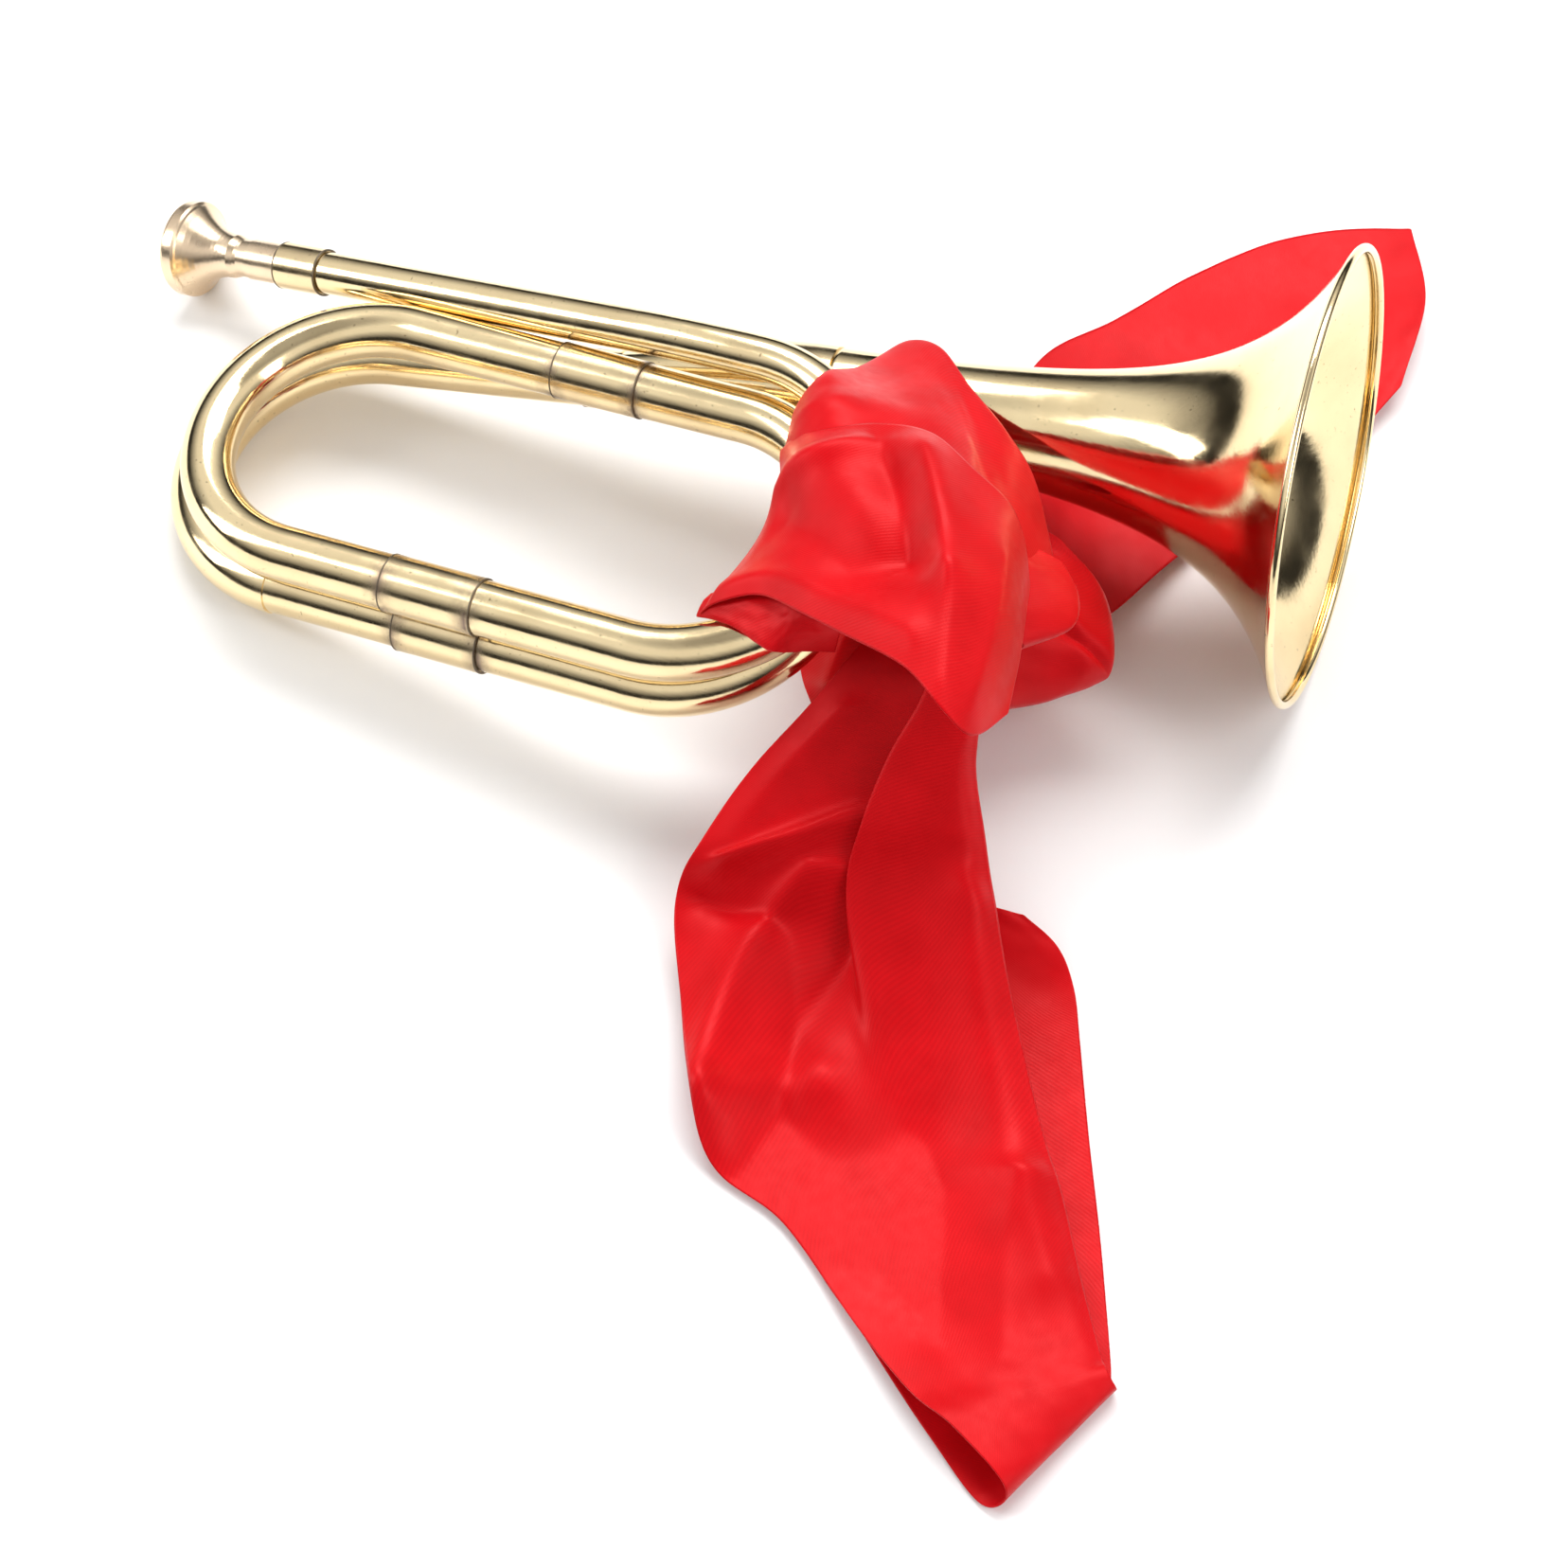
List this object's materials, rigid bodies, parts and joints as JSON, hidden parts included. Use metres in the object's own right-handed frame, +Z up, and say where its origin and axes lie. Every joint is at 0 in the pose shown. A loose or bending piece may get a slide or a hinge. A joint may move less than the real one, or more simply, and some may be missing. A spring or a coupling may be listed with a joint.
{
  "type": "bugle",
  "caption": "Two-turn brass bugle with a flared bell, pull-out mouthpiece and a long red satin ribbon tied round its bends, laid on a surface.",
  "frame": {"origin": "centre of the footprint, on the surface that the bugle lies on", "axes": "+X along the tubes towards the bell, +Z up from the surface, +Y from the ribbon's long tail towards its short end"},
  "size_m": [0.3755, 0.424, 0.1216],
  "materials": {
    "tube_brass": "polished, lightly tarnished",
    "sleeve_brass": "polished, with dark seams",
    "mouthpiece_brass": "brushed, slightly pink",
    "solder": "dull",
    "red_satin": "satin weave"
  },
  "bodies": {
    "horn": {"mouthpiece_receiver": "sleeve_brass", "lead_pipe": "tube_brass", "lead_curl": "tube_brass", "lead_bend": "tube_brass", "lead_collar": "sleeve_brass", "front_right_bend": "tube_brass", "bottom_front_right_tube": "tube_brass", "bottom_front_sleeve": "sleeve_brass", "bottom_front_left_tube": "tube_brass", "front_left_bend": "tube_brass", "middle_front_left_tube": "tube_brass", "middle_front_sleeve": "sleeve_brass", "middle_front_right_tube": "tube_brass", "rear_right_bend": "tube_brass", "bottom_rear_right_tube": "tube_brass", "bottom_rear_sleeve": "sleeve_brass", "bottom_rear_left_tube": "tube_brass", "rear_left_bend": "tube_brass", "middle_rear_tube": "tube_brass", "middle_rear_collar": "sleeve_brass", "tail_cone": "tube_brass", "tail_collar": "sleeve_brass", "bell": "tube_brass", "bell_rim_wire": "tube_brass", "solder_pads": "solder", "ribbon_front_wrap": "red_satin", "ribbon_back_wrap": "red_satin", "ribbon_knot": "red_satin", "ribbon_side_loop": "red_satin", "ribbon_bell_end": "red_satin", "ribbon_front_tail": "red_satin", "ribbon_left_tail": "red_satin", "ribbon_rear_tail": "red_satin"},
    "mouthpiece": {"mouthpiece_cup": "mouthpiece_brass", "mouthpiece_shank": "mouthpiece_brass"}
  },
  "joints": [
    {"name": "mouthpiece_pull", "type": "slide", "parent": "horn", "child": "mouthpiece", "axis": [-0.9591, 0.0468, -0.2794], "range_m": [0, 0.03]}
  ]
}
